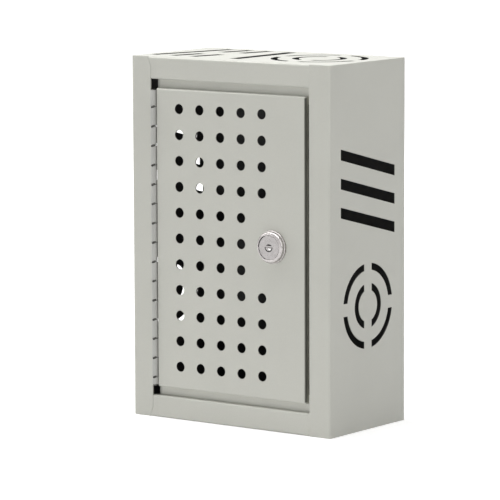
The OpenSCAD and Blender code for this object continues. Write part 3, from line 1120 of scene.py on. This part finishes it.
    def notch(self, height: float) -> Piece:
        """Shapes the tool that cuts a knuckle back where it meets the next one.

        Args:
            height: Height of the knuckle's end.

        Returns:
            The tool, an egg that leans to one side.
        """
        tool = ball("notch", 1.0, self.notch_rings)
        bearing = radians(self.notch_bearing)
        reach = self.knuckle_r + self.notch_out
        tool.scale = self.notch_size
        tool.rotation_euler = (0.0, -radians(self.notch_tilt), bearing)
        tool.location = (reach * sin(bearing), -reach * cos(bearing), height)
        settle(tool)
        return tool

    def plate(self, side: int, reach: float) -> Piece:
        """Cuts the leaf's plate and dimples it at its spot welds.

        Args:
            side: The side that it runs to.
            reach: Distance from the pin's axis to its far edge.

        Returns:
            The plate.
        """
        low, high = self.low + self.end_gap, self.high - self.end_gap
        r = self.corner_r
        lower = shifted(arc(r, -90.0, 0.0, self.corner_steps), reach - r, low + r)
        upper = shifted(arc(r, 0.0, 90.0, self.corner_steps), reach - r, high - r)
        outline = [(self.near, low), *lower, *upper, (self.near, high)]
        piece = prism("plate", [(side * x, z) for x, z in outline], 0.0, self.leaf_t)
        piece.rotation_euler = (radians(90.0), 0.0, 0.0)
        piece.location = (0.0, self.knuckle_r, 0.0)
        settle(piece)
        step = (high - low) / self.weld_dimples
        for index in range(self.weld_dimples):
            for face_y, outward in ((self.bore, -1.0), (self.knuckle_r, 1.0)):
                dimple = ball("dimple", self.dimple_r, self.dimple_rings)
                y = face_y + outward * (self.dimple_r - self.dimple_depth)
                dimple.location = (side * (self.near + reach) / 2, y, low + (index + 0.5) * step)
                settle(dimple)
                carve(piece, dimple)
        return piece


@dataclass
class CamLock:
    """The quarter-turn cam lock, from its collar to its cam screw, modelled about its own axis."""

    collar_round: float = 1.0 * MM
    collar_foot: float = 0.2 * MM
    collar_smooth: float = 50.0
    bore_r: float = 9.5 * MM
    shoulder_r: float = 15.6 * MM
    rim_r: float = 12.95 * MM
    rim_round: float = 0.18 * MM
    flank_curve: float = 2.2
    recess_r: float = 12.35 * MM
    recess_depth: float = 1.5 * MM
    groove_reach: float = 1.5
    barrel_r: float = 9.4 * MM
    barrel_flats: float = 16.0 * MM
    core_r: float = 6.0 * MM
    clearance: float = 0.05 * MM
    thread_pitch: float = 1.0 * MM
    thread_depth: float = 0.45 * MM
    thread_slope: float = 0.3
    face_t: float = 1.0 * MM
    face_round: float = 0.25 * MM
    arch_w: float = 7.0 * MM
    arch_foot: float = 1.9 * MM
    arch_rise: float = 1.4 * MM
    arch_depth: float = 1.6 * MM
    shutter_r: float = 4.7 * MM
    shutter_at: Pair = (-0.4 * MM, 0.4 * MM)
    shutter_gap: float = 1.0 * MM
    shutter_line: float = 0.35 * MM
    shutter_depth: float = 1.7 * MM
    line_share: float = 0.8
    key_share: float = 0.9
    button_at: Pair = (0.8 * MM, -1.6 * MM)
    button_size: Pair = (1.55 * MM, 0.8 * MM)
    button_h: float = 0.4 * MM
    button_foot: float = 0.1
    dome_inset: float = 0.9
    dome_start: float = 0.25
    keyway: Pair = (8.6 * MM, 2.2 * MM)
    key_depth: float = 13.0 * MM
    tang_w: float = 8.0 * MM
    tang_round: float = 0.3 * MM
    wafers: int = 5
    wafer_first: float = 2.0 * MM
    wafer_pitch: float = 2.0 * MM
    wafer_t: float = 0.8 * MM
    wafer_h: float = 6.8 * MM
    wafer_play: float = 0.2 * MM
    channel_reach: float = 1.0 * MM
    stop_wall: float = 1.3 * MM
    stop_arc: Pair = (98.0, 262.0)
    nut_chamfer: float = 0.06
    nut_lead: float = 0.45
    nut_round: float = 1 / 3
    screw_r: float = 2.0 * MM
    screw_core_r: float = 1.75 * MM
    screw_pitch: float = 0.7 * MM
    screw_slot: Pair = (0.95 * MM, 1.1 * MM)
    screw_turn: float = 12.0
    slot_reach: float = 1.15
    head_side: float = 0.25
    edge: float = 0.2 * MM
    steps: int = 96
    round_steps: int = 8
    flank_steps: int = 7
    flank_foot: Pair = (0.02, 0.06)
    stop_steps: int = 30
    arch_steps: int = 18
    shutter_steps: int = 32
    hole_steps: int = 32
    button_steps: int = 48
    screw_steps: int = 64
    dome_steps: int = 6
    # Darker plating on the plug, a painted shade on its face.
    plug_shade_tone: Colour = (0.345, 0.33, 0.325)
    # Pale plating on the button, a painted glint.
    button_glint_tone: Colour = (0.88, 0.87, 0.86)
    button_gloss: float = 0.12

    @property
    def centre(self) -> Point:
        """Where the lock's axis meets the door's face."""
        low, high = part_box("lock_collar")
        return ((low.x + high.x) / 2, high.y, (low.z + high.z) / 2)

    @property
    def shoulder(self) -> float:
        """Height of the plug's shoulder, where the stop washer starts."""
        return self.span("stop_washer")[0]

    def build(self) -> None:
        """Makes and dresses every part of the lock."""
        nickel = SatinNickel("satin_nickel_plate", self.centre, shade_marks=(self.rim_groove_shade(),)).make()
        # Painted shade: a darker copy of the plating on the plug, so that its face reads shaded.
        dull = SatinNickel("plug_nickel_painted_shade", self.centre, self.plug_shade_tone, shade_marks=self.key_shadows())
        # Painted glint: pale plating on the button stands in for a highlight.
        bright = SatinNickel("nickel_plate_painted_glint", self.centre, self.button_glint_tone, self.button_gloss)
        zinc = ZINC_PLATE.make()
        enter(self.collar(), Body.DOOR, Slot.NICKEL, nickel, "lock_collar")
        enter(self.housing(), Body.DOOR, Slot.NICKEL, nickel, "lock_housing")
        enter(self.plug(), Body.LOCK, Slot.NICKEL, dull.make(), "lock_plug")
        enter(self.button(), Body.LOCK, Slot.NICKEL, bright.make())
        enter(self.nut(), Body.DOOR, Slot.ZINC, zinc, "lock_nut")
        enter(self.screw(), Body.LOCK, Slot.ZINC, zinc, "cam_screw")
        for name in ("lock_washer", "stop_washer", "lock_cam", "cam_washer"):
            dress_node(name, zinc, self.edge)
        dress_node("lock_wafers", WAFER_BRASS.make())

    def out(self, y: float) -> float:
        """Height of a point above the door's face, from its place along Y."""
        return self.centre[1] - y

    def span(self, node: str) -> tuple[float, float, float]:
        """A solid's outer and inner heights above the door's face, and half its width."""
        low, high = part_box(node)
        return self.out(low.y), self.out(high.y), (high.x - low.x) / 2

    def zone(self, low: Point, high: Point, **limits: float | Point) -> Zone:
        """A zone of painted shade, by its corners across, up and out from the lock's centre.

        Args:
            low: Its lowest corner.
            high: Its highest corner.
            limits: The zone's other fields.

        Returns:
            The zone in the object's frame.
        """
        x, y, z = self.centre
        near, far = (x + low[0], y - high[2], z + low[1]), (x + high[0], y - low[2], z + high[1])
        return Zone(near, far, SHADOWED_METAL, **limits)

    def rim_groove_shade(self) -> Zone:
        """Painted shade in the rim's groove, at its upper left only.

        Returns:
            The zone.
        """
        top = self.span("lock_housing")[0]
        r = self.recess_r + self.groove_reach * self.rim_round
        low = (-self.rim_r, 0.0, top - self.recess_depth - self.rim_round)
        high = (-self.rim_r / 2, self.rim_r, top + self.rim_round)
        return self.zone(low, high, radius=r, centre=self.centre, across=(1.0, 0.0, 1.0))

    def key_shadows(self) -> tuple[Zone, ...]:
        """Painted shade in the dark insides of the arch, of the gap round the shutter and of the line along
        its top.

        Returns:
            A zone for each of the three.
        """
        face = self.span("lock_plug")[0]
        skin, deep = face - self.edge, face - self.key_depth
        half, foot = self.arch_w / 2 + self.edge, self.arch_foot - self.edge
        arch = self.zone((-half, foot, deep), (half, foot + self.arch_rise + 2 * self.edge, skin))
        x, y = self.shutter_at
        r = self.shutter_r + self.edge
        middle = (self.centre[0] + x, 0.0, self.centre[2] + y)
        ring = {"radius": r, "core": self.shutter_r - self.shutter_gap - self.edge, "centre": middle}
        gap = self.zone((x - r, y - r, deep), (x + r, y, skin), across=(1.0, 0.0, 1.0), **ring)
        line = self.zone((x - r, y - self.shutter_line, deep), (x + r, y + self.edge, skin))
        return arch, gap, line

    def mount(self, piece: Piece, smooth_angle: float = SMOOTH_ANGLE) -> Piece:
        """Turns a piece that was made facing up to face out of the door, on the lock's axis.

        Args:
            piece: The piece.
            smooth_angle: Edges sharper than this many degrees stay crisp.

        Returns:
            The same piece.
        """
        piece.rotation_euler = (radians(90.0), 0.0, 0.0)
        piece.location = self.centre
        settle(piece)
        seal(piece, smooth_angle)
        return piece

    def collar(self) -> Piece:
        """Turns the collar, with its rounded front edge.

        Returns:
            The collar.
        """
        h, _, r = self.span("lock_collar")
        bore, foot, soft = self.bore_r, self.collar_foot, self.collar_round
        edge = shifted(arc(soft, 0.0, 90.0, self.round_steps), r - soft, h - soft)
        profile = [(bore, 0.0), (r - foot, 0.0), (r, foot), *edge, (bore, h), (bore, 0.0)]
        return self.mount(turned("trim_collar", profile, self.steps), self.collar_smooth)

    def thread(self, outer: float, inner: float, start: float, end: float, pitch: float) -> Outline:
        """Rings of a thread's profile, from one height down to another.

        Args:
            outer: Radius of its crests.
            inner: Radius of its roots.
            start: Height of its first crest.
            end: Height that it stops short of.
            pitch: Distance between two crests.

        Returns:
            The rings' radii and heights.
        """
        rings: Outline = []
        height = start
        while height > end + pitch:
            slope = self.thread_slope * pitch
            rings += [(outer, height), (inner, height - slope), (outer, height - 2 * slope)]
            height -= pitch
        return rings

    def housing(self) -> Piece:
        """Turns the head and its threaded barrel, cuts the flats and channels, and adds the stop rim.

        Returns:
            The housing.
        """
        top, foot, _ = self.span("lock_housing")
        base = self.span("lock_collar")[0]
        floor = top - self.recess_depth
        bore = self.core_r + self.clearance
        stop_top = self.shoulder + 2 * self.clearance
        lip = self.rim_round
        run, rise = self.shoulder_r - self.rim_r, top - lip - base
        shares = [*self.flank_foot, *((step + 1) / self.flank_steps for step in range(self.flank_steps))]
        rises = [rise * sqrt(1.0 - (1.0 - share) ** self.flank_curve) for share in shares]
        flank = [(self.shoulder_r - share * run, base + z) for share, z in zip(shares, rises)]
        root = self.barrel_r - self.thread_depth
        recess, rim = self.recess_r, self.rim_r - lip
        profile = [(bore, floor), (recess, floor), (recess, top - lip), (recess + lip, top), (rim, top)]
        profile += [*reversed(flank), (self.shoulder_r, base), (self.barrel_r, base)]
        profile += self.thread(self.barrel_r, root, 0.0, stop_top, self.thread_pitch)
        profile += [(root, stop_top), (bore, stop_top), (bore, floor)]
        head = turned("lock_head", profile, self.steps)
        wide = 2 * self.barrel_r
        for side in (-1, 1):
            across = side * (self.barrel_flats + wide) / 2
            flat = block("flat", (across, 0.0, (stop_top - wide) / 2), (wide, 2 * wide, wide - stop_top))
            carve(head, flat)
        long = self.wafers * self.wafer_pitch + self.wafer_t
        size = (self.core_r + self.channel_reach, self.wafer_h + self.wafer_play, long)
        carve_crossed(head, (size[0] / 2, 0.0, self.wafer_t - self.wafer_first - long / 2), size)
        (start, end), inner = self.stop_arc, self.core_r + self.stop_wall
        rim = [*arc(root, start, end, self.stop_steps), *arc(inner, end, start, self.stop_steps)]
        rim = [(max(x, -self.barrel_flats / 2), y) for x, y in rim]
        ring = prism("stop_rim", rim, foot, stop_top + 2 * self.clearance)
        return self.mount(weld_up("lock_head", [head, ring]))

    def plug(self) -> Piece:
        """Turns the plug's face and core, cuts the key's way and the wafer slots, and adds the tang.

        Returns:
            The plug.
        """
        face, end, r = self.span("lock_plug")
        back, soft = face - self.face_t, self.face_round
        profile = [(0.0, face), (r - soft, face), (r, face - soft), (r, back), (self.core_r, back)]
        profile += [(self.core_r, self.shoulder), (0.0, self.shoulder)]
        plug = turned("lock_plug_face", profile, self.steps)
        self.cut_key_way(plug, face)
        for index in range(self.wafers):
            depth = -(self.wafer_first + index * self.wafer_pitch + self.wafer_t / 2)
            size = (4 * self.core_r, self.wafer_h + self.wafer_play, self.wafer_t + self.wafer_play)
            carve(plug, block("wafer_slot", (0.0, 0.0, depth), size))
        sunk = self.wafer_play
        middle = (0.0, 0.0, (self.shoulder + sunk + end) / 2)
        tang = block("tang", middle, (self.tang_w, self.tang_w, self.shoulder + sunk - end))
        soften(tang, self.tang_round)
        hole_r, deep = self.screw_r + self.clearance, end + self.tang_w / 2
        below = end - self.tang_w
        outline = [(0.0, below), (hole_r, below), (hole_r, deep), (0.0, deep + hole_r)]
        hole = turned("screw_hole", outline, self.hole_steps)
        carve(plug, tang, "UNION")
        carve(plug, hole)
        return self.mount(plug)

    def cut_key_way(self, plug: Piece, face: float) -> None:
        """Cuts the arch, the gap round the half-round shutter, and the keyway behind them.

        Args:
            plug: The plug, facing up.
            face: Height of its face.
        """
        above = face + self.face_t
        half, rise = self.arch_w / 2, self.arch_rise
        r = (half * half + rise * rise) / (2 * rise)
        spread = degrees(asin(half / r))
        lens = arc(r, 90.0 - spread, 90.0 + spread, self.arch_steps)
        lens = shifted(lens, 0.0, self.arch_foot + rise - r)
        carve(plug, prism("arch", lens, face - self.arch_depth, above))
        x, y = self.shutter_at
        outer, inner = self.shutter_r, self.shutter_r - self.shutter_gap
        around = self.shutter_steps
        gap = shifted([*arc(outer, 180.0, 360.0, around), *arc(inner, 360.0, 180.0, around)], x, y)
        carve(plug, prism("shutter_gap", gap, face - self.shutter_depth, above))
        size = (outer + inner, self.shutter_line, self.line_share * self.shutter_depth + self.face_t)
        middle = (x, y - self.shutter_line / 2 + self.clearance, above - size[2] / 2)
        carve(plug, block("shutter_line", middle, size))
        width, height = self.keyway
        middle = (0.0, 0.0, face - self.key_share * self.shutter_depth - self.key_depth / 2)
        carve(plug, block("keyway", middle, (width, height, self.key_depth)))

    def button(self) -> Piece:
        """Domes the button that the key's tip pushes in, with a fine step round its foot; its pale plating is
        a painted glint.

        Returns:
            The button.
        """
        face, h = self.span("lock_plug")[0], self.button_h
        start, foot = self.dome_start, face + self.button_foot * h
        dome = arc(self.dome_inset, 0.0, 90.0, self.round_steps)
        dome = [(x, face + (start + (1.0 - start) * y) * h) for x, y in dome]
        profile = [(0.0, face - h), (1.0, face - h), (1.0, foot), *dome]
        button = turned("shutter_button", profile, self.button_steps)
        wide, tall = self.button_size
        button.scale = (wide, tall, 1.0)
        settle(button)
        button.location = (*self.button_at, 0.0)
        settle(button)
        return self.mount(button)

    def nut(self) -> Piece:
        """Makes the hexagon nut, with chamfered corners and a grooved bore.

        Returns:
            The nut.
        """
        top, foot, across = self.span("lock_nut")
        nut = prism("hexagon_nut", arc(across, 0.0, 300.0, 5), foot, top)
        slope = self.nut_chamfer * across
        low_z, high_z = foot - slope, top + slope
        large = across + self.nut_round * slope
        small = large - 2 * (1.0 + self.nut_round) * slope
        outline = [(0.0, low_z), (small, low_z), (large, foot + slope), (large, top - slope)]
        outline += [(small, high_z), (0.0, high_z)]
        cone = turned("cone", outline, self.steps)
        carve(nut, cone, "INTERSECT")
        bore, pitch = self.barrel_r + self.clearance, self.thread_pitch
        above, below = top + pitch, foot - pitch
        first = top + self.nut_lead * pitch
        grooves = self.thread(bore, bore + self.thread_depth, first, below, pitch)
        outline = [(0.0, above), (bore, above), *grooves, (bore, below), (0.0, below)]
        tool = turned("bore", outline, self.steps)
        carve(nut, tool)
        return self.mount(nut)

    def screw(self) -> Piece:
        """Makes the cam screw, with a domed head, a crossed recess and a threaded shank.

        Returns:
            The screw.
        """
        tip, end, r = self.span("cam_screw")
        neck = self.span("cam_washer")[1]
        side = self.head_side * (end - neck)
        dome = [(x, neck + side + (end - neck - side) * y / r) for x, y in arc(r, 0.0, 90.0, self.dome_steps)]
        crest, root, pitch = self.screw_r, self.screw_core_r, self.screw_pitch
        shank = self.thread(crest, root, tip - pitch, neck, pitch)
        profile = [(0.0, tip), (root, tip), *shank, (crest, neck), (r, neck), *dome]
        screw = turned("cam_screw_head", profile, self.screw_steps)
        wide, deep = self.screw_slot
        carve_crossed(screw, (0.0, 0.0, end), (self.slot_reach * r, wide, 2 * deep), self.screw_turn)
        return self.mount(screw)


# ---------------------------------------------------------------- studio


@dataclass(frozen=True)
class Softbox:
    """A rectangular lamp that faces the middle of the box."""

    name: str
    bearing: float
    elevation: float
    distance: float
    width: float
    height: float
    power: float
    mirrored: bool = True
    target: Point = (0.0, 0.0, 0.18)

    def hang(self) -> None:
        """Adds the lamp, turned by its bearing to the right of the door's straight ahead."""
        bearing, elevation = radians(self.bearing), radians(self.elevation)
        away = Vector((sin(bearing) * cos(elevation), -cos(bearing) * cos(elevation), sin(elevation)))
        release()
        bpy.ops.object.light_add(type="AREA", location=Vector(self.target) + self.distance * away)
        lamp = bpy.context.object
        lamp.name = self.name
        lamp.data.shape = "RECTANGLE"
        lamp.data.size = self.width
        lamp.data.size_y = self.height
        lamp.data.energy = self.power
        lamp.visible_glossy = self.mirrored
        lamp.rotation_euler = (-away).to_track_quat("-Z", "Y").to_euler()


@dataclass
class Studio:
    """Camera, lights, floor and white surround."""

    focal_px: float = 3484.913
    frame_px: float = 500.0
    sensor_mm: float = 36.0
    eye: Point = (2.02043, -2.76738, 0.61913)
    yaw: float = 36.4442
    pitch: float = 7.5065
    roll: float = -0.2163
    ambient: float = 0.18
    floor_drop: float = 0.2 * MM
    floor_size: float = 30.0
    clip_end: float = 60.0
    # name, bearing, elevation, distance, width, height, power
    softboxes: tuple[Softbox, ...] = (
        Softbox("front_softbox", 5.0, 5.0, 2.6, 2.4, 0.9, 22.3, mirrored=False),
        Softbox("left_wing", -82.0, 42.0, 2.4, 1.4, 2.2, 32.0),
        Softbox("right_wing", 90.0, 30.0, 2.4, 0.8, 1.8, 10.1),
        Softbox("overhead_softbox", 0.0, 86.0, 1.9, 2.0, 0.8, 34.0),
        Softbox("back_softbox", 180.0, 12.0, 2.6, 2.4, 1.2, 20.0, mirrored=False),
    )

    def build(self) -> None:
        """Sets up the whole studio."""
        self.place_camera()
        self.light_world()
        for softbox in self.softboxes:
            softbox.hang()
        self.lay_floor()

    def place_camera(self) -> None:
        """Puts the camera where the photograph was taken from."""
        yaw, pitch, roll = (radians(a) for a in (self.yaw, self.pitch, self.roll))
        ahead = Vector((-sin(yaw) * cos(pitch), cos(yaw) * cos(pitch), -sin(pitch)))
        level = Vector((cos(yaw), sin(yaw), 0.0))
        above = level.cross(ahead)
        across = cos(roll) * level + sin(roll) * above
        upright = -sin(roll) * level + cos(roll) * above
        release()
        bpy.ops.object.camera_add()
        camera = bpy.context.object
        camera.name = "photo_camera"
        turn = Matrix((across, upright, -ahead)).transposed()
        camera.matrix_world = Matrix.Translation(self.eye) @ turn.to_4x4()
        camera.data.sensor_width = self.sensor_mm
        camera.data.lens = self.focal_px / self.frame_px * self.sensor_mm
        camera.data.clip_end = self.clip_end
        bpy.context.scene.camera = camera

    def light_world(self) -> None:
        """Lights the scene a little all round, and shows white behind it."""
        scene = bpy.context.scene
        scene.view_settings.view_transform = "Standard"
        world = bpy.data.worlds.new("white_surround")
        scene.world = world
        world.use_nodes = True
        graph = Graph.of_world(world)
        soft = graph.background(self.ambient)
        white = graph.background(1.0)
        mix = graph.tree.nodes.new("ShaderNodeMixShader")
        graph.join(graph.shown(), mix.inputs["Fac"])
        graph.join(soft, mix.inputs[1])
        graph.join(white, mix.inputs[2])
        graph.join(mix.outputs["Shader"], graph.output.inputs["Surface"])

    def lay_floor(self) -> None:
        """Lays the floor under the box."""
        release()
        bpy.ops.mesh.primitive_plane_add(size=self.floor_size, location=(0.0, 0.0, -self.floor_drop))
        floor = adopt("studio_floor")
        settle(floor)
        paint(floor, StudioFloor("studio_floor_white").make())


def main() -> None:
    """Builds the studio and the box."""
    logging.basicConfig(level=logging.INFO, format="%(message)s")
    for part in (Studio(), Sheetwork(), Door(), Hinge(), CamLock()):
        LOG.info("building %s", type(part).__name__)
        part.build()


if __name__ == "__main__":
    main()
